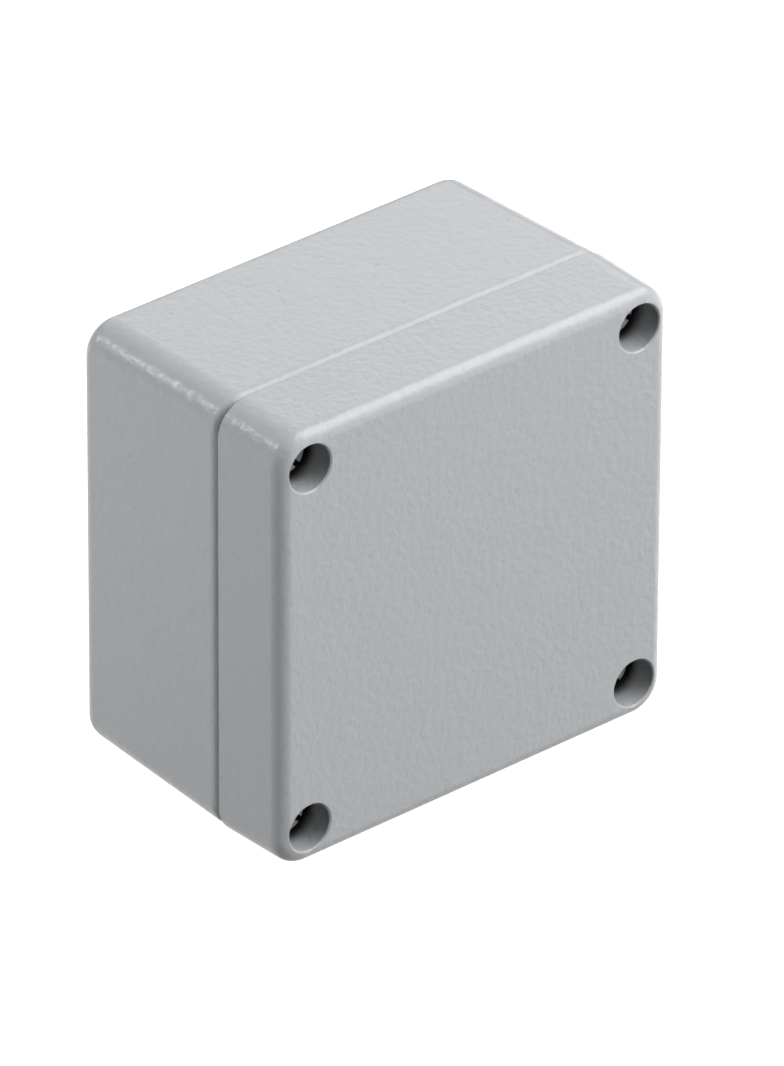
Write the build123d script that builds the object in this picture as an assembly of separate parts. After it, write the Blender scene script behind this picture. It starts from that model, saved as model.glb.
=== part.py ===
from build123d import *
import os

# Die cast aluminium box with a sealed lid on four captive screws, standing on one side wall.
# Millimetres. X is the width, Y runs from the lid at the front to the back, Z is up.
# The origin is on the ground, under the middle of the box.

# Outside of the box
box_width = 122.0           # across the lid's rim
box_height = 120.0          # across the lid's rim
base_depth = 53.0           # from the seam to the back
lid_depth = 23.0            # from the seam to the lid's face
corner_radius = 8.6         # the four long corners of both castings
base_step = 0.2             # the base rim stands this far inside the lid rim
base_draft = 1.4            # degrees, base narrows to the back
lid_draft = 1.1             # degrees, lid narrows to the front
back_edge_radius = 4.1
base_rim_radius = 2.6
lid_edge_radius = 3.7
lid_rim_bevel = 0.7

# Walls of the two castings
side_wall = 4.2
back_wall = 4.0
lid_plate = 3.6
web = 3.0                   # between the cavity and the corner pockets
core_draft = 1.0            # degrees, inner walls
cavity_corner = 4.5
cavity_floor_bevel = 2.2

# Lid screws, wells and tapped pillars
screw_inset_x = 9.8         # from the lid rim to the screw's axis
screw_inset_z = 10.1
thread_radius = 3.0
thread_length = 10.0
thread_clearance = 0.06
shank_radius = 2.4          # the thin stretch above the thread
shank_hole_radius = 3.3
head_radius = 5.0
head_height = 3.9
head_below_face = 8.3       # lid face to the top of the head
well_radius = 6.25
well_mouth_bevel = 0.4
seat_web = 4.5              # thickness of the wall that the head clamps
ring_pocket_radius = 4.8
screw_travel = 10.0         # how far a loosened screw backs out before its ring holds it
travel_clearance = 0.3
pillar_hole_spare = 4.0     # hole left below the screw's end

# Screw recess: a slot with a cross in it
slot_width = 1.5
slot_depth = 1.5
cross_length = 6.0
cross_width = 1.35
cross_depth = 2.4

# Ring on each screw's thin shank
ring_height = 1.6
ring_radius = 4.4
ring_bore_clearance = 0.05

# Wall mounting holes in the corner pockets
mount_inset_x = 11.0        # from the lid rim to the hole's axis
mount_from_screw = 11.9     # along the height, between the two axes
mount_hole_radius = 3.25
pocket_size = 12.4
pocket_corner = 4.5
pocket_floor = 5.0
pocket_draft = 0.8          # degrees

# Seal: a tongue on the base runs in a groove of the lid, against the gasket
tongue_setback = 0.2        # from the cavity wall
tongue_width = 1.3
groove_side_clearance = 0.5
groove_depth = 5.0
groove_lip = 1.8            # wall between the groove and the lid's cavity
gasket_height = 2.6
gasket_side_clearance = 0.1
seal_contact_gap = 0.05

# Pockets in the lid over the mounting holes
lid_pocket_wall = 2.4
lid_pocket_corner = 2.5
lid_pocket_floor = 6.5

# Tapped bosses on the floor of the base
boss_spacing_x = 60.0
boss_spacing_z = 76.0
boss_radius = 4.5
boss_height = 6.0
boss_hole_radius = 1.65
boss_hole_depth = 7.5

# Earthing point on the floor of the base
earth_below_middle = 41.0
earth_boss_radius = 7.0
earth_boss_height = 8.0
earth_thread_radius = 2.5
earth_thread_length = 7.5
earth_thread_clearance = 0.05
earth_hole_spare = 1.0
earth_head_radius = 4.75
earth_head_height = 3.3
earth_slot_width = 1.2
earth_slot_depth = 1.6
clamp_size = 13.0
clamp_thickness = 1.2
clamp_lug_height = 1.6
washer_radius = 4.4
washer_thickness = 1.2
washer_bore_clearance = 0.2
washer_slit = 0.9
washer_slit_angle = 20.0    # degrees

overcut = 1.0               # how far cutting shapes stand clear of the surface they open

# Working frame of both castings: x is the width, y the height, z points to the lid's face, 0 is the seam.
seam_y = lid_depth - (base_depth + lid_depth) / 2
box_frame = Plane(origin=(0, seam_y, box_height / 2), x_dir=(1, 0, 0), z_dir=(0, -1, 0))

# Places that follow from the sizes above
screw_x = box_width / 2 - screw_inset_x
screw_y = box_height / 2 - screw_inset_z
mount_x = box_width / 2 - mount_inset_x
mount_y = screw_y - mount_from_screw
cavity_half_width = box_width / 2 - base_step - side_wall
cavity_half_height = box_height / 2 - base_step - side_wall
neck_half_width = mount_x - pocket_size / 2 - web
neck_half_height = mount_y - pocket_size / 2 - web
floor_z = back_wall - base_depth
groove_inner = tongue_setback - groove_side_clearance
groove_outer = tongue_setback + tongue_width + groove_side_clearance
gasket_low = groove_depth - gasket_height
tongue_height = gasket_low - seal_contact_gap
seat_z = lid_depth - head_below_face - head_height
ring_top = seat_z - seat_web
ring_low = ring_top - ring_height
thread_top = ring_low - screw_travel - travel_clearance
screw_end = thread_top - thread_length
pillar_hole_radius = thread_radius + thread_clearance
pillar_hole_depth = pillar_hole_spare - screw_end
earth_seat = floor_z + earth_boss_height
washer_seat = earth_seat + clamp_thickness
earth_head_seat = washer_seat + washer_thickness
corners = {
    "upper_left": (-1, 1),
    "upper_right": (1, 1),
    "lower_left": (-1, -1),
    "lower_right": (1, -1),
}
from_below = (Align.CENTER, Align.CENTER, Align.MIN)
from_above = (Align.CENTER, Align.CENTER, Align.MAX)


def lowest_face(solid):
    return solid.faces().sort_by(Axis.Z)[0]


def highest_face(solid):
    return solid.faces().sort_by(Axis.Z)[-1]


# Block with drafted sides and rounded long corners, which narrows as it goes to the back or to the front.
def drafted_back(outline, depth, draft_angle, radius):
    block = extrude(outline, depth, dir=(0, 0, -1))
    sides = [face for face in block.faces() if abs(face.normal_at().Z) < 0.5]
    block = draft(sides, Plane.XY, -draft_angle)
    long_edges = [edge for edge in block.edges() if abs(edge.tangent_at(0.5).Z) > 0.5]
    return fillet(long_edges, radius)


def drafted_front(outline, depth, draft_angle, radius):
    return mirror(drafted_back(outline, depth, draft_angle, radius), Plane.XY)


# Plan of the cavity inside the seal: a cross that steps round the four corner blocks.
def cross_outline(grow=0.0):
    upright = Rectangle(2 * (neck_half_width + grow), 2 * (cavity_half_height + grow))
    across = Rectangle(2 * (cavity_half_width + grow), 2 * (neck_half_height + grow))
    return Sketch() + upright + across


# Band that follows the cavity's plan, between two distances outside its wall.
def seal_band(inner, outer, height):
    plan = fillet(cross_outline().vertices(), cavity_corner)
    return extrude(offset(plan, outer) - offset(plan, inner), height)


# Base casting: drafted shell, corner blocks with tapped pillars and mounting pockets, seal tongue, floor bosses.
def base_housing():
    rim = Rectangle(box_width - 2 * base_step, box_height - 2 * base_step)
    casting = drafted_back(rim, base_depth, base_draft, corner_radius)
    casting = fillet(lowest_face(casting).edges(), back_edge_radius)
    casting = fillet(highest_face(casting).edges(), base_rim_radius)
    casting -= base_cavity()
    casting += seal_band(tongue_setback, tongue_setback + tongue_width, tongue_height)
    for side, level in corners.values():
        casting -= Pos(side * mount_x, level * mount_y, 0) * mounting_pocket()
        casting -= Pos(side * screw_x, level * screw_y, 0) * blind_hole(pillar_hole_radius, 0, pillar_hole_depth)
        boss_place = Pos(side * boss_spacing_x / 2, level * boss_spacing_z / 2, floor_z)
        casting += boss_place * floor_boss(boss_radius, boss_height)
        casting -= boss_place * blind_hole(boss_hole_radius, boss_height, boss_hole_depth)
    earth_place = Pos(0, -earth_below_middle, floor_z)
    casting += earth_place * floor_boss(earth_boss_radius, earth_boss_height)
    earth_hole_radius = earth_thread_radius + earth_thread_clearance
    casting -= earth_place * blind_hole(earth_hole_radius, earth_boss_height, earth_thread_length + earth_hole_spare)
    return casting


def base_cavity():
    cavity = drafted_back(cross_outline(), -floor_z, core_draft, cavity_corner)
    return chamfer(lowest_face(cavity).edges(), cavity_floor_bevel)


def mounting_pocket():
    mouth = Rectangle(pocket_size, pocket_size)
    pocket = drafted_back(mouth, base_depth - pocket_floor, pocket_draft, pocket_corner)
    return pocket + Pos(0, 0, -base_depth) * Cylinder(mount_hole_radius, 4 * pocket_floor)


def floor_boss(radius, height):
    return Pos(0, 0, -overcut) * Cylinder(radius, height + overcut, align=from_below)


def blind_hole(radius, top, depth):
    return Pos(0, 0, top - depth) * Cylinder(radius, depth + overcut, align=from_below)


# Lid casting: drafted pan with screw wells at its corners and the gasket groove in its rim.
def lid():
    casting = drafted_front(Rectangle(box_width, box_height), lid_depth, lid_draft, corner_radius)
    casting = fillet(highest_face(casting).edges(), lid_edge_radius)
    casting = chamfer(lowest_face(casting).edges(), lid_rim_bevel)
    casting -= lid_cavity()
    casting -= seal_band(groove_inner, groove_outer, groove_depth)
    for side, level in corners.values():
        casting -= lid_corner_pocket(side, level)
        casting -= Pos(side * screw_x, level * screw_y, 0) * screw_passage()
    return casting


def lid_cavity():
    plan = cross_outline(groove_inner - groove_lip)
    cavity = drafted_front(plan, lid_depth - lid_plate, core_draft, cavity_corner)
    return chamfer(highest_face(cavity).edges(), cavity_floor_bevel)


# Pocket over the mounting hole, between the groove, the outer wall and the screw well.
def lid_corner_pocket(side, level):
    near_x = neck_half_width + groove_outer + lid_pocket_wall
    far_x = box_width / 2 - side_wall - lid_pocket_wall
    near_y = neck_half_height + groove_outer + lid_pocket_wall
    far_y = screw_y - well_radius - lid_pocket_wall
    plan = Rectangle(far_x - near_x, far_y - near_y)
    pocket = drafted_front(plan, lid_depth - lid_pocket_floor, pocket_draft, lid_pocket_corner)
    return Pos(side * (near_x + far_x) / 2, level * (near_y + far_y) / 2, 0) * pocket


# Everything cut for one screw: the well, the hole in the clamped wall and the pocket for the ring.
def screw_passage():
    well = Pos(0, 0, seat_z) * Cylinder(well_radius, lid_depth - seat_z + overcut, align=from_below)
    mouth = Pos(0, 0, lid_depth) * Cone(
        well_radius, well_radius + 2 * well_mouth_bevel, 2 * well_mouth_bevel)
    shank_hole = Cylinder(shank_hole_radius, seat_z + overcut, align=from_below)
    ring_pocket = Cylinder(ring_pocket_radius, 2 * ring_top)
    return well + mouth + shank_hole + ring_pocket


# Gasket: a soft band at the bottom of the lid's groove, which the tongue presses on.
def lid_gasket():
    inner = groove_inner + gasket_side_clearance
    outer = groove_outer - gasket_side_clearance
    return Pos(0, 0, gasket_low) * seal_band(inner, outer, gasket_height)


# Captive screw: flat head with a slot and a cross, thin shank, thread only at its end.
def lid_screw():
    slot = Box(2 * head_radius + overcut, slot_width, 2 * slot_depth)
    cross_bar = Box(cross_length, cross_width, 2 * cross_depth)
    recess = slot + cross_bar + Rot(0, 0, 90) * cross_bar
    head = Cylinder(head_radius, head_height, align=from_below) - Pos(0, 0, head_height) * recess
    shank = Cylinder(shank_radius, seat_z - thread_top, align=from_above)
    thread = Cylinder(thread_radius, thread_length, align=from_above)
    return Pos(0, 0, seat_z) * (head + shank) + Pos(0, 0, thread_top) * thread


# Ring on the thin shank, under the clamped wall of the lid: the thread can't pass it.
def screw_ring():
    ring = Cylinder(ring_radius, ring_height, align=from_below)
    ring -= Cylinder(shank_radius + ring_bore_clearance, 4 * ring_height)
    return Pos(0, 0, ring_low) * ring


# Earthing screw with a slotted head; its thread is held in the floor boss.
def earth_screw():
    slot = Box(2 * earth_head_radius + overcut, earth_slot_width, 2 * earth_slot_depth)
    head = Cylinder(earth_head_radius, earth_head_height, align=from_below) - Pos(0, 0, earth_head_height) * slot
    shank_length = washer_thickness + clamp_thickness + earth_thread_length
    shank = Cylinder(earth_thread_radius, shank_length, align=from_above)
    return Pos(0, -earth_below_middle, earth_head_seat) * (head + shank)


# Clamp plate under the earthing screw, with two turned-up edges that keep the wires in.
def earth_clamp():
    plate = Box(clamp_size, clamp_size, clamp_thickness, align=from_below)
    lug = Box(clamp_thickness, clamp_size, clamp_thickness + clamp_lug_height, align=from_below)
    lug_x = (clamp_size - clamp_thickness) / 2
    plate += Pos(lug_x, 0, 0) * lug + Pos(-lug_x, 0, 0) * lug
    plate -= Cylinder(earth_thread_radius + washer_bore_clearance, 4 * clamp_thickness)
    return Pos(0, -earth_below_middle, earth_seat) * plate


# Split lock washer between the clamp plate and the screw's head.
def earth_lock_washer():
    bore = earth_thread_radius + washer_bore_clearance
    washer = Cylinder(washer_radius, washer_thickness) - Cylinder(bore, 2 * washer_thickness)
    slit = Box(2 * washer_radius, washer_slit, 4 * washer_thickness, align=(Align.MIN, Align.CENTER, Align.CENTER))
    washer -= Rot(washer_slit_angle, 0, 0) * slit
    return Pos(0, -earth_below_middle, washer_seat + washer_thickness / 2) * washer


def write_node(name, solid):
    placed = box_frame.location * solid
    placed.label = name
    export_step(placed, f"parts/{name}.step")


os.makedirs("parts", exist_ok=True)
write_node("base_housing", base_housing())
write_node("lid", lid())
write_node("lid_gasket", lid_gasket())
for corner, (side, level) in corners.items():
    screw_axis = Pos(side * screw_x, level * screw_y, 0)
    write_node(f"lid_screw_{corner}", screw_axis * lid_screw())
    write_node(f"screw_ring_{corner}", screw_axis * screw_ring())
write_node("earth_screw", earth_screw())
write_node("earth_clamp", earth_clamp())
write_node("earth_lock_washer", earth_lock_washer())
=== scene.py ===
import math

import bpy
from mathutils import Matrix, Vector


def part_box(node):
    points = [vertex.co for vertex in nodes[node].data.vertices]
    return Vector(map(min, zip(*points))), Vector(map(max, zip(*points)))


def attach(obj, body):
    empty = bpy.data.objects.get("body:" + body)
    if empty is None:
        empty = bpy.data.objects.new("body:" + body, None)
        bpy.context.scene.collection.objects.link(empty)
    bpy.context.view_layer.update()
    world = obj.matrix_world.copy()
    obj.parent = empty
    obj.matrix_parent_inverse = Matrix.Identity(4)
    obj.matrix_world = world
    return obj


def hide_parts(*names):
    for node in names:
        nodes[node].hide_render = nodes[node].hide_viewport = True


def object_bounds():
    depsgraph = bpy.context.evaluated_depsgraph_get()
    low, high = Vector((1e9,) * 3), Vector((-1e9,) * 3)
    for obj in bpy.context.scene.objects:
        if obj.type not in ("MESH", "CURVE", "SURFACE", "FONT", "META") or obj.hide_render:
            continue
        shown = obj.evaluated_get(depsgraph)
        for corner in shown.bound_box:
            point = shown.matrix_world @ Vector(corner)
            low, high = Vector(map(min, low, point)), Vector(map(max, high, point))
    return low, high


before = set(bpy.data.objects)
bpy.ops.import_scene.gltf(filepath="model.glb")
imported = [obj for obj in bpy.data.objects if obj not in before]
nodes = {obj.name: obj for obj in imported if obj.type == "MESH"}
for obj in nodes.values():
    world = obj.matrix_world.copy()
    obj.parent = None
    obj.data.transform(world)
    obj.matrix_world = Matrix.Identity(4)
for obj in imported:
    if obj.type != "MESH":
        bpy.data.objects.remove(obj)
cadLow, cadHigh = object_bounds()
boxMiddle = (cadLow + cadHigh) / 2
mm = 0.001
corners = ("upper_left", "upper_right", "lower_left", "lower_right")
print("frame loaded,", len(nodes), "nodes")


# shader helpers


class Value:
    # a socket of a shader tree; sums and products of it add Math nodes
    def __init__(self, finish, socket):
        self.finish = finish
        self.socket = socket

    def maths(self, operation, *terms):
        return self.finish.add("ShaderNodeMath", {"operation": operation}, dict(enumerate(terms)))

    def __add__(self, other):
        return self.maths("ADD", self, other)

    def __radd__(self, other):
        return self.maths("ADD", other, self)

    def __sub__(self, other):
        return self.maths("SUBTRACT", self, other)

    def __rsub__(self, other):
        return self.maths("SUBTRACT", other, self)

    def __mul__(self, other):
        return self.maths("MULTIPLY", self, other)

    def __rmul__(self, other):
        return self.maths("MULTIPLY", other, self)

    def __abs__(self):
        return self.maths("ABSOLUTE", self)

    def smaller(self, other):
        return self.maths("MINIMUM", self, other)

    def larger(self, other):
        return self.maths("MAXIMUM", self, other)

    def sine(self):
        return self.maths("SINE", self)

    def root(self):
        return self.maths("SQRT", self)


class Finish:
    # the node tree of one material, or of the world
    def __init__(self, owner):
        owner.use_nodes = True
        self.owner = owner
        self.tree = owner.node_tree
        self.tree.nodes.clear()

    def add(self, kind, settings, inputs, output=0):
        node = self.tree.nodes.new(kind)
        for key, value in settings.items():
            setattr(node, key, value)
        for key, value in inputs.items():
            if isinstance(value, Value):
                self.tree.links.new(value.socket, node.inputs[key])
            else:
                node.inputs[key].default_value = value
        return Value(self, node.outputs[output]) if node.outputs else node

    def place(self):
        # where a point lies on the piece itself, so that the pattern travels with it
        return self.add("ShaderNodeTexCoord", {}, {}, "Object")

    def parts(self, vector):
        return [self.add("ShaderNodeSeparateXYZ", {}, {0: vector}, axis) for axis in range(3)]

    def noise(self, vector, size, detail, roughness, distortion=0.0):
        inputs = {"Vector": vector, "Scale": 1 / size, "Detail": detail}
        inputs.update({"Roughness": roughness, "Distortion": distortion})
        return self.add("ShaderNodeTexNoise", {}, inputs)

    def blendOver(self, value, low, high):
        # 0 below low, 1 above high, smooth between
        inputs = {"Value": value, "From Min": low, "From Max": high}
        return self.add("ShaderNodeMapRange", {"interpolation_type": "SMOOTHSTEP"}, inputs)

    def mixColour(self, factor, first, second):
        return self.add("ShaderNodeMix", {"data_type": "RGBA"}, {0: factor, 6: first, 7: second}, 2)

    def softEdges(self, radius, samples):
        return self.add("ShaderNodeBevel", {"samples": samples}, {"Radius": radius})

    def bump(self, height, **under):
        # heights are in metres, so the bump works at full strength
        inputs = {"Strength": 1.0, "Distance": 1.0, "Height": height, **under}
        return self.add("ShaderNodeBump", {}, inputs)

    def surface(self, **inputs):
        named = {key.replace("_", " "): value for key, value in inputs.items()}
        shader = self.add("ShaderNodeBsdfPrincipled", {}, named)
        self.add("ShaderNodeOutputMaterial", {}, {"Surface": shader})
        return self.owner


def rgb(red, green, blue):
    return (red, green, blue, 1.0)


def dress(obj, material):
    obj.data.materials.clear()
    obj.data.materials.append(material)


noiseMiddle = 0.5  # every noise swings about this value


# powder coated castings
# a pattern is given as its size, detail, roughness and, where it has one, distortion

coat = {
    "colour": rgb(0.400, 0.411, 0.422),
    "shade": rgb(0.380, 0.391, 0.403),
    "cloud": (4.0 * mm, 3.0, 0.6),
    "roughness": 0.30,
    "roughRange": 0.10,
    "gloss": 0.40,
    "thickness": 0.09 * mm,
    "peel": (2.0 * mm, 1.2, 0.45),
    "peelHeight": 0.20 * mm,
    "grain": (0.8 * mm, 1.0, 0.5),
    "grainHeight": 0.045 * mm,
    "wave": (9.0 * mm, 1.0, 0.5),
    "waveHeight": 0.08 * mm,
    "edge": 0.25 * mm,
    "edgeSamples": 4,
    "sideCalm": 0.5,
    "sideCalmOver": (0.45 * mm, 0.15 * mm),  # inside the widest place
    "sideSlope": 0.0244,  # tangent of the base's draft
    # painted shade: the near-black colour laid down the lid's wells, and where it starts and fades
    "thin": rgb(0.018, 0.019, 0.021),
    "thinDepth": (4.5 * mm, 9.0 * mm),  # below the lid's face
    "thinPastSeat": 1.0 * mm,
    "thinFade": 0.3 * mm,
}
bareMetal = {
    "bright": rgb(0.66, 0.67, 0.68),
    "dull": rgb(0.50, 0.51, 0.53),
    "metallic": 0.9,
    "roughness": 0.46,
    "roughRange": 0.25,
    "flow": (14.0 * mm, 3.0, 0.6, 0.8),
    "crystals": (0.5 * mm, 2.0, 0.6),
    "crystalHeight": 0.012 * mm,
    "ragged": (1.4 * mm, 3.0, 0.5),
    "raggedReach": 1.2 * mm,
    "fade": 0.25 * mm,
}
# where the spray did not reach: the outlines of the hollows, and limits that run inside the walls
inside = {
    "wide": (56.6 * mm, 28.8 * mm),  # half sizes, across and up, of the two arms of the hollow
    "tall": (40.8 * mm, 55.6 * mm),
    "corner": 4.5 * mm,
    "toSeal": 1.2 * mm,  # the coat ends this far outside the hollow
    "pocketAt": (50.0 * mm, 38.0 * mm),  # across and up from the box's middle
    "pocketHalf": 6.2 * mm,
    "screwAt": (51.2 * mm, 49.9 * mm),
    "passageLimit": 5.2 * mm,  # from the screw's axis, as the next two
    "tappedLimit": 3.6 * mm,
    "wellLimit": 7.2 * mm,
    "rim": 0.4 * mm,  # the coat reaches this far into the holes at the seam
    "lidFace": -38.0 * mm,  # from the front to the back
    "lidLimit": -36.0 * mm,
    "seat": -25.8 * mm,
    "seam": -15.0 * mm,
    "backLimit": 35.8 * mm,
}


def insideRounded(across, along, half, grow):
    # metres inside a rectangle with round corners, below 0 outside
    corner = inside["corner"] + grow
    offX = (across - (half[0] + grow - corner)).larger(0.0)
    offZ = (along - (half[1] + grow - corner)).larger(0.0)
    return corner - (offX * offX + offZ * offZ).root()


def insideCross(across, along, grow):
    wide = insideRounded(across, along, inside["wide"], grow)
    return wide.larger(insideRounded(across, along, inside["tall"], grow))


def insideSquare(across, along, middle, half):
    return (half - abs(across - middle[0])).smaller(half - abs(along - middle[1]))


def insideUncoated(across, along, y, fromAxis, isLid):
    # metres inside what the spray did not reach: the hollow up to the seal, and the holes short of the seam
    hollow = insideCross(across, along, inside["toSeal"])
    pocket = insideSquare(across, along, inside["pocketAt"], inside["pocketHalf"])
    if isLid:
        behindFace = y - inside["lidLimit"]
        offWell = fromAxis - inside["wellLimit"]
        passage = (inside["passageLimit"] - fromAxis).smaller(y - inside["seat"])
        holes = pocket.smaller(offWell).smaller(behindFace).larger(passage)
        holes = holes.smaller(inside["seam"] - inside["rim"] - y)
        return hollow.smaller(behindFace).smaller(offWell).larger(holes)
    tapped = inside["tappedLimit"] - fromAxis
    holes = pocket.larger(tapped).smaller(y - (inside["seam"] + inside["rim"]))
    return hollow.larger(holes).smaller(inside["backLimit"] - y)


def thinSpray(finish, y, fromAxis):
    # painted shade: the wells are coloured near black from part way down to just past the screw seat,
    # standing in for the shade that falls there
    deep = finish.blendOver(y - inside["lidFace"], *coat["thinDepth"])
    above = finish.blendOver(inside["seat"] + coat["thinPastSeat"] - y, 0.0, coat["thinFade"])
    within = finish.blendOver(inside["wellLimit"] - fromAxis, 0.0, coat["thinFade"])
    return deep * above * within


def calmOnSides(finish, across, y):
    # the left and right sides have flowed smoother than the top and the front
    side = across + abs(y - inside["seam"]) * coat["sideSlope"]
    onSide = finish.blendOver(side, *[cadHigh.x - depth for depth in coat["sideCalmOver"]])
    return 1 - onSide * coat["sideCalm"]


def coatedCasting(name, isLid):
    finish = Finish(bpy.data.materials.new(name))
    place = finish.place()
    x, y, z = finish.parts(place)
    across, along = abs(x), abs(z - boxMiddle.z)
    offX, offZ = across - inside["screwAt"][0], along - inside["screwAt"][1]
    fromAxis = (offX * offX + offZ * offZ).root()
    ragged = (finish.noise(place, *bareMetal["ragged"]) - noiseMiddle) * bareMetal["raggedReach"]
    uncoated = insideUncoated(across, along, y, fromAxis, isLid) + ragged
    bare = finish.blendOver(uncoated, -bareMetal["fade"], bareMetal["fade"])
    coated = 1 - bare

    peel = finish.noise(place, *coat["peel"])
    ripple = peel * coat["peelHeight"] + finish.noise(place, *coat["grain"]) * coat["grainHeight"]
    wave = finish.noise(place, *coat["wave"]) * coat["waveHeight"]
    coatHeight = ripple * calmOnSides(finish, across, y) + wave + coat["thickness"]
    metalHeight = finish.noise(place, *bareMetal["crystals"]) * bareMetal["crystalHeight"]
    height = coatHeight * coated + metalHeight * bare
    normal = finish.bump(height, Normal=finish.softEdges(coat["edge"], coat["edgeSamples"]))

    cloud = finish.noise(place, *coat["cloud"])
    flow = finish.noise(place, *bareMetal["flow"])
    coatColour = finish.mixColour(cloud, coat["shade"], coat["colour"])
    if isLid:
        # painted shade down the lid's wells
        coatColour = finish.mixColour(thinSpray(finish, y, fromAxis), coatColour, coat["thin"])
    metalColour = finish.mixColour(flow, bareMetal["dull"], bareMetal["bright"])
    coatRough = coat["roughness"] + (peel - noiseMiddle) * coat["roughRange"]
    metalRough = bareMetal["roughness"] + (flow - noiseMiddle) * bareMetal["roughRange"]
    return finish.surface(
        Base_Color=finish.mixColour(bare, coatColour, metalColour),
        Metallic=bare * bareMetal["metallic"],
        Roughness=coatRough * coated + metalRough * bare,
        Specular_IOR_Level=coat["gloss"],
        Normal=normal)


dress(nodes["base_housing"], coatedCasting("coatedBase", False))
dress(nodes["lid"], coatedCasting("coatedLid", True))
print("castings coated")


# seal and rings

foam = {
    "colour": rgb(0.045, 0.045, 0.048),
    "pale": rgb(0.075, 0.075, 0.078),
    "cloud": (3.0 * mm, 2.0, 0.5),
    "poreSize": 0.45 * mm,
    "poreDepth": 0.05 * mm,
    "roughness": 0.75,
    "roughRange": 0.15,
}
ring = {
    "colour": rgb(0.06, 0.06, 0.065),
    "pale": rgb(0.09, 0.09, 0.095),
    "cloud": (1.5 * mm, 2.0, 0.5),
    "cloudHeight": 0.02 * mm,
    "roughness": 0.5,
    "roughRange": 0.1,
}


def foamRubber():
    finish = Finish(bpy.data.materials.new("foamRubber"))
    place = finish.place()
    cells = finish.add("ShaderNodeTexVoronoi", {}, {"Vector": place, "Scale": 1 / foam["poreSize"]})
    cloud = finish.noise(place, *foam["cloud"])
    return finish.surface(
        Base_Color=finish.mixColour(cloud, foam["colour"], foam["pale"]),
        Roughness=foam["roughness"] + cloud * foam["roughRange"],
        Normal=finish.bump(cells * foam["poreDepth"]))


def ringPlastic():
    finish = Finish(bpy.data.materials.new("ringPlastic"))
    cloud = finish.noise(finish.place(), *ring["cloud"])
    return finish.surface(
        Base_Color=finish.mixColour(cloud, ring["colour"], ring["pale"]),
        Roughness=ring["roughness"] + cloud * ring["roughRange"],
        Normal=finish.bump(cloud * ring["cloudHeight"]))


dress(nodes["lid_gasket"], foamRubber())
ringMaterial = ringPlastic()
for corner in corners:
    dress(nodes["screw_ring_" + corner], ringMaterial)
print("seal and rings done")


# screws, their shape in millimetres

lidScrew = {
    "headRadius": 5.0,
    "headHeight": 3.9,
    "headEdge": 0.5,
    "underEdge": 0.25,
    "shankRadius": 2.4,
    "shankLength": 16.4,
    "threadRadius": 3.0,
    "threadDepth": 0.58,
    "threadLength": 10.0,
    "pitch": 1.0,
    "slotWidth": 1.5,
    "slotDepth": 1.5,
    "crossLength": 6.0,
    "crossWidth": 1.35,
    "crossDepth": 2.4,
    "crossTaper": 0.5,
}
earthScrew = {
    "headRadius": 4.75,
    "headHeight": 3.3,
    "headEdge": 0.45,
    "underEdge": 0.2,
    "shankRadius": 2.1,
    "shankLength": 2.4,
    "threadRadius": 2.5,
    "threadDepth": 0.46,
    "threadLength": 7.5,
    "pitch": 0.8,
    "slotWidth": 1.2,
    "slotDepth": 1.6,
}
screwCut = {
    "turnSteps": 56,
    "edgeSteps": 4,
    "rowsPerPitch": 9,
    "faceRings": (0.35, 0.7),  # shares of the head's radius
    "shoulder": 0.3,
    "crestCut": 1.15,  # above 1 the thread's crest is flat
    "tipTaper": 0.25,
    "cutterRise": 1.0,  # how far the cutters stand out of the head
    "brokenEdge": 0.08,
    "brokenSteps": 2,
    "brokenAngle": 50.0,  # degrees, as the next
    "smoothAngle": 40.0,
}
# the way each slot points, in degrees
screwTurn = {
    "upper_left": -52.0,
    "upper_right": -28.0,
    "lower_left": -38.0,
    "lower_right": -66.0,
    "earth": 35.0,
}
turnedMetal = {
    "colour": rgb(0.64, 0.64, 0.63),
    "shade": rgb(0.50, 0.50, 0.49),
    "cloud": (1.2 * mm, 3.0, 0.6),
    "cloudHeight": 0.01 * mm,
    "grooveSize": 0.11 * mm,
    "grooveHeight": 0.0012 * mm,
    "metallic": 0.6,
    "roughness": 0.36,
    "roughRange": 0.16,
}


def screwRows(size):
    # radius, depth and thread height at each ring of points, from the middle of the head to the tip
    head, edge, under = size["headRadius"], size["headEdge"], size["underEdge"]
    shank, pitch, shoulder = size["shankRadius"], size["pitch"], screwCut["shoulder"]
    rows = [(head * share, 0.0, 0.0) for share in screwCut["faceRings"]]
    for step in range(screwCut["edgeSteps"] + 1):
        turn = step / screwCut["edgeSteps"] * math.pi / 2
        rows.append((head - edge + edge * math.sin(turn), -edge + edge * math.cos(turn), 0.0))
    rows.append((head, under - size["headHeight"], 0.0))
    rows.append((head - under, -size["headHeight"], 0.0))
    rows.append((shank + shoulder, -size["headHeight"], 0.0))
    rows.append((shank, -size["headHeight"] - shoulder, 0.0))
    start = -size["headHeight"] - size["shankLength"]
    rows.append((shank, start, 0.0))
    count = round(size["threadLength"] / pitch * screwCut["rowsPerPitch"])
    root = size["threadRadius"] - size["threadDepth"]
    for step in range(count + 1):
        along = step / count * size["threadLength"]
        left = (size["threadLength"] - along) / pitch
        runOut = min(1.0, along / pitch, left)
        taper = min(1.0, 1 - screwCut["tipTaper"] + screwCut["tipTaper"] * left)
        rows.append((root * taper, start - along, size["threadDepth"] * runOut))
    return rows


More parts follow.
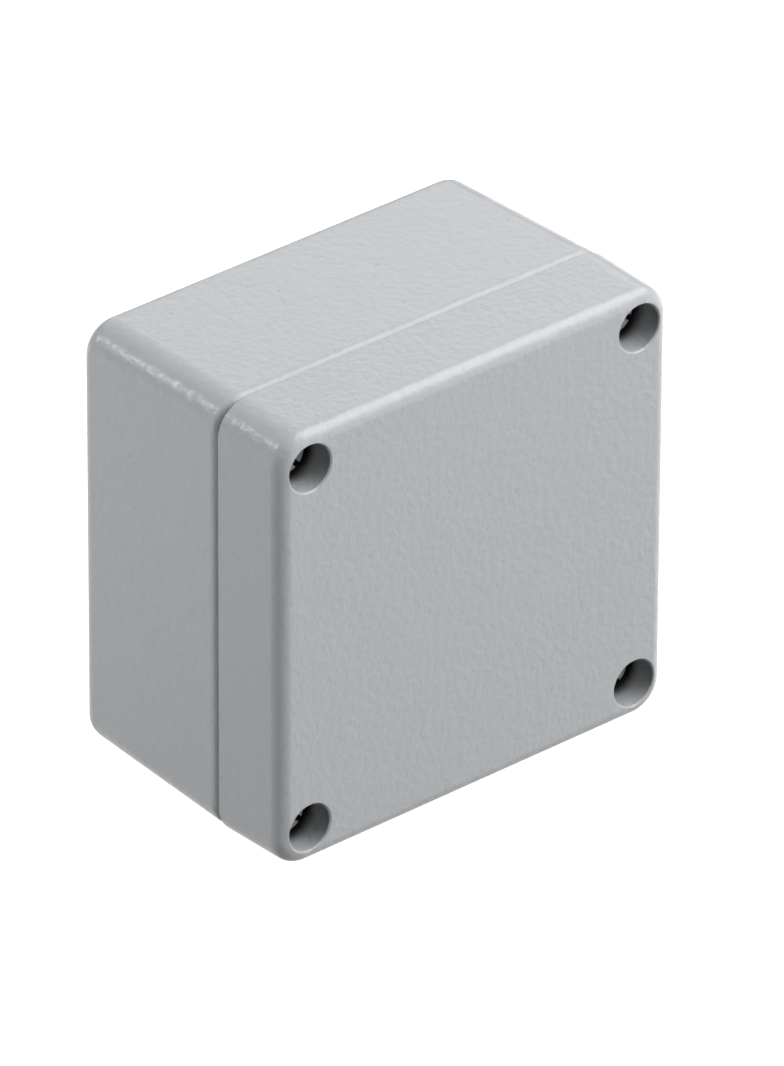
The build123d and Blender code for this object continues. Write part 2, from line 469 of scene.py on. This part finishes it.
def screwMesh(name, size):
    points, faces = [(0.0, 0.0, 0.0)], []
    rows = screwRows(size)
    steps = screwCut["turnSteps"]
    for radius, depth, ridge in rows:
        for step in range(steps):
            angle = 2 * math.pi * step / steps
            phase = (depth / size["pitch"] + step / steps) % 1.0
            crest = min(1.0, screwCut["crestCut"] * (1 - abs(2 * phase - 1)))
            reach = radius + ridge * crest
            points.append((reach * math.cos(angle), reach * math.sin(angle), depth))
    points.append((0.0, 0.0, rows[-1][1]))
    last = len(points) - 1
    tip = 1 + (len(rows) - 1) * steps
    for step in range(steps):
        after = (step + 1) % steps
        faces.append((0, 1 + step, 1 + after))
        for row in range(len(rows) - 1):
            near, far = 1 + row * steps, 1 + (row + 1) * steps
            faces.append((near + after, near + step, far + step, far + after))
        faces.append((last, tip + after, tip + step))
    mesh = bpy.data.meshes.new(name)
    mesh.from_pydata([Vector(point) * mm for point in points], [], faces)
    return mesh


def prism(outline, bottom, shrink):
    # a cutter from above the head down to bottom, where its outline has shrunk
    count = len(outline)
    points = [(px, py, screwCut["cutterRise"]) for px, py in outline]
    points += [(px * shrink, py * shrink, bottom) for px, py in outline]
    faces = [tuple(range(count)), tuple(reversed(range(count, 2 * count)))]
    faces += [(k, k + count, (k + 1) % count + count, (k + 1) % count) for k in range(count)]
    mesh = bpy.data.meshes.new("cutter")
    mesh.from_pydata([Vector(point) * mm for point in points], [], faces)
    return mesh


def recessCutters(size):
    half, reach = size["slotWidth"] / 2, size["headRadius"] + screwCut["cutterRise"]
    slot = [(-reach, -half), (reach, -half), (reach, half), (-reach, half)]
    cutters = [prism(slot, -size["slotDepth"], 1.0)]
    if "crossLength" in size:
        arm, side, taper = size["crossLength"] / 2, size["crossWidth"] / 2, size["crossTaper"]
        # the taper goes on above the head, as far as the cutter does
        grown = 1 + (1 - taper) * screwCut["cutterRise"] / size["crossDepth"]
        cross = []
        for quarter in range(4):
            turn = Matrix.Rotation(quarter * math.pi / 2, 2)
            points = ((arm, -side), (arm, side), (side, side))
            cross += [tuple(turn @ Vector(point) * grown) for point in points]
        cutters.append(prism(cross, -size["crossDepth"], taper / grown))
    return cutters


def cutBy(mesh, cutters):
    body = bpy.data.objects.new("blank", mesh)
    bpy.context.scene.collection.objects.link(body)
    tools = []
    for cutter in cutters:
        tool = bpy.data.objects.new("tool", cutter)
        bpy.context.scene.collection.objects.link(tool)
        cut = body.modifiers.new("cut", "BOOLEAN")
        cut.object = tool
        cut.operation = "DIFFERENCE"
        cut.solver = "EXACT"
        tools.append(tool)
    bevel = body.modifiers.new("edges", "BEVEL")
    bevel.width = screwCut["brokenEdge"] * mm
    bevel.segments = screwCut["brokenSteps"]
    bevel.limit_method = "ANGLE"
    bevel.angle_limit = math.radians(screwCut["brokenAngle"])
    view = bpy.context.evaluated_depsgraph_get()
    made = bpy.data.meshes.new_from_object(body.evaluated_get(view))
    for tool in tools + [body]:
        bpy.data.objects.remove(tool)
    made.shade_smooth()
    made.set_sharp_from_angle(angle=math.radians(screwCut["smoothAngle"]))
    return made


def turnedSteel():
    finish = Finish(bpy.data.materials.new("turnedSteel"))
    place = finish.place()
    x, y = finish.parts(place)[:2]
    fromAxis = (x * x + y * y).root()
    grooves = (fromAxis * (2 * math.pi / turnedMetal["grooveSize"])).sine()
    cloud = finish.noise(place, *turnedMetal["cloud"])
    height = grooves * turnedMetal["grooveHeight"] + cloud * turnedMetal["cloudHeight"]
    return finish.surface(
        Base_Color=finish.mixColour(cloud, turnedMetal["shade"], turnedMetal["colour"]),
        Metallic=turnedMetal["metallic"],
        Roughness=turnedMetal["roughness"] + cloud * turnedMetal["roughRange"],
        Normal=finish.bump(height))


def placeScrew(name, mesh, node, body, turn):
    low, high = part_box(node)
    screw = bpy.data.objects.new(name, mesh)
    bpy.context.scene.collection.objects.link(screw)
    outward = Matrix(((1, 0, 0), (0, 0, -1), (0, 1, 0))).to_4x4()  # the mesh's z points out of the lid
    headTop = Vector(((low.x + high.x) / 2, low.y, (low.z + high.z) / 2))
    turned = Matrix.Rotation(math.radians(turn), 4, "Z")
    screw.matrix_world = Matrix.Translation(headTop) @ outward @ turned
    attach(screw, body)
    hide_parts(node)


steel = turnedSteel()
lidScrewMesh = cutBy(screwMesh("lidScrew", lidScrew), recessCutters(lidScrew))
lidScrewMesh.materials.append(steel)
for corner in corners:
    node, body = "lid_screw_" + corner, "screw_" + corner
    placeScrew("lidScrew_" + corner, lidScrewMesh, node, body, screwTurn[corner])
earthScrewMesh = cutBy(screwMesh("earthScrew", earthScrew), recessCutters(earthScrew))
earthScrewMesh.materials.append(steel)
placeScrew("earthScrew", earthScrewMesh, "earth_screw", "base", screwTurn["earth"])
print("screws cut,", len(lidScrewMesh.polygons), "faces each")


# earthing clamp and washer

pressedMetal = {
    "colour": rgb(0.74, 0.74, 0.72),
    "shade": rgb(0.60, 0.60, 0.58),
    "streaks": (0.8 * mm, 3.0, 0.6),
    "streakHeight": 0.01 * mm,
    "edge": 0.15 * mm,
    "edgeSamples": 4,
    "metallic": 1.0,
    "roughness": 0.3,
    "roughRange": 0.15,
}


def pressedSteel():
    finish = Finish(bpy.data.materials.new("pressedSteel"))
    streaks = finish.noise(finish.place(), *pressedMetal["streaks"])
    rounded = finish.softEdges(pressedMetal["edge"], pressedMetal["edgeSamples"])
    return finish.surface(
        Base_Color=finish.mixColour(streaks, pressedMetal["shade"], pressedMetal["colour"]),
        Metallic=pressedMetal["metallic"],
        Roughness=pressedMetal["roughness"] + streaks * pressedMetal["roughRange"],
        Normal=finish.bump(streaks * pressedMetal["streakHeight"], Normal=rounded))


clampMaterial = pressedSteel()
for name in ("earth_clamp", "earth_lock_washer"):
    dress(nodes[name], clampMaterial)
print("earthing parts done")


# stage, light and camera

studio = {
    "sky": 0.15,
    "skyFrom": (-0.15, 0.45),
    "skyColour": rgb(0.97, 0.99, 1.0),
    "background": 1.0,
    "floorSize": 8.0,
    "floorColour": rgb(0.5, 0.5, 0.5),
    "floorRoughness": 0.9,
    "floorGlow": 0.96,
    "floorLight": rgb(1.0, 1.0, 1.0),
    "lampDistance": 1.4,
}
# sizes in metres; a lamp without shine lights the box but does not mirror in it
lamps = {
    "keyLamp": {"towards": (0.54, -0.30, 0.78), "size": (1.3, 1.0), "power": 21.4, "shine": True},
    "frontLamp": {"towards": (0.28, -0.86, 0.42), "size": (0.9, 0.9), "power": 14.8, "shine": False},
    "sidePanel": {"towards": (-0.78, 0.62, 0.16), "size": (1.5, 0.8), "power": 16.0, "shine": False},
    "rearLamp": {"towards": (-0.56, 0.65, 0.52), "size": (0.13, 0.13), "power": 3.0, "shine": True},
    "backStrip": {"towards": (0.58, 0.69, 0.44), "size": (1.3, 0.15), "power": 2.6, "shine": True},
}
# where the camera stands: degrees round and above the box, millimetres from its middle
cameraPlace = {
    "azimuth": -40.262,
    "elevation": 31.145,
    "roll": 0.269,
    "distance": 3209.4,
    "right": 4.614,
    "up": -4.341,
    "focalPixels": 13341.5,
    "pictureHeight": 1066,
    "sensor": 36.0,
    "clip": (0.1, 100.0),
}


def makeFloor():
    half = studio["floorSize"] / 2
    mesh = bpy.data.meshes.new("floor")
    points = [(-half, -half, 0), (half, -half, 0), (half, half, 0), (-half, half, 0)]
    mesh.from_pydata(points, [], [(0, 1, 2, 3)])
    floor = bpy.data.objects.new("floor", mesh)
    bpy.context.scene.collection.objects.link(floor)
    finish = Finish(bpy.data.materials.new("floorPaper"))
    mesh.materials.append(finish.surface(
        Base_Color=studio["floorColour"],
        Roughness=studio["floorRoughness"],
        Emission_Color=studio["floorLight"],
        Emission_Strength=studio["floorGlow"]))
    floor.visible_diffuse = False


def makeLamp(name, values):
    lamp = bpy.data.lights.new(name, "AREA")
    lamp.shape = "RECTANGLE"
    lamp.size, lamp.size_y = values["size"]
    lamp.energy = values["power"]
    holder = bpy.data.objects.new(name, lamp)
    bpy.context.scene.collection.objects.link(holder)
    holder.visible_glossy = values["shine"]
    towards = Vector(values["towards"]).normalized()
    holder.location = boxMiddle + towards * studio["lampDistance"]
    holder.rotation_euler = towards.to_track_quat("Z", "Y").to_euler()


def makeWorld():
    bpy.context.scene.world = bpy.data.worlds.new("studio")
    sky = Finish(bpy.context.scene.world)
    height = sky.parts(sky.add("ShaderNodeTexCoord", {}, {}, "Generated"))[2]
    glow = sky.blendOver(height, *studio["skyFrom"]) * studio["sky"]
    dim = sky.add("ShaderNodeBackground", {}, {"Color": studio["skyColour"], "Strength": glow})
    pale = sky.add("ShaderNodeBackground", {}, {"Strength": studio["background"]})  # what the camera sees
    seen = sky.add("ShaderNodeLightPath", {}, {}, "Is Camera Ray")
    shown = sky.add("ShaderNodeMixShader", {}, {0: seen, 1: dim, 2: pale})
    sky.add("ShaderNodeOutputWorld", {}, {"Surface": shown})


def makeCamera(values):
    azimuth, elevation = math.radians(values["azimuth"]), math.radians(values["elevation"])
    level, rise = math.cos(elevation), math.sin(elevation)
    back = Vector((math.sin(azimuth) * level, -math.cos(azimuth) * level, rise))
    aside = Vector((0, 0, 1)).cross(back).normalized()
    upright = back.cross(aside)
    roll = math.radians(values["roll"])
    right = aside * math.cos(roll) + upright * math.sin(roll)
    up = upright * math.cos(roll) - aside * math.sin(roll)
    data = bpy.data.cameras.new("camera")
    data.sensor_width = values["sensor"]
    data.lens = values["focalPixels"] * values["sensor"] / values["pictureHeight"]
    data.clip_start, data.clip_end = values["clip"]
    camera = bpy.data.objects.new("camera", data)
    bpy.context.scene.collection.objects.link(camera)
    spot = boxMiddle + (back * values["distance"] + right * values["right"] + up * values["up"]) * mm
    camera.matrix_world = Matrix.Translation(spot) @ Matrix((right, up, back)).transposed().to_4x4()
    bpy.context.scene.camera = camera


makeFloor()
for name, values in lamps.items():
    makeLamp(name, values)
makeWorld()
makeCamera(cameraPlace)
bpy.context.scene.view_settings.view_transform = "Standard"
print("stage, lamps and camera set")
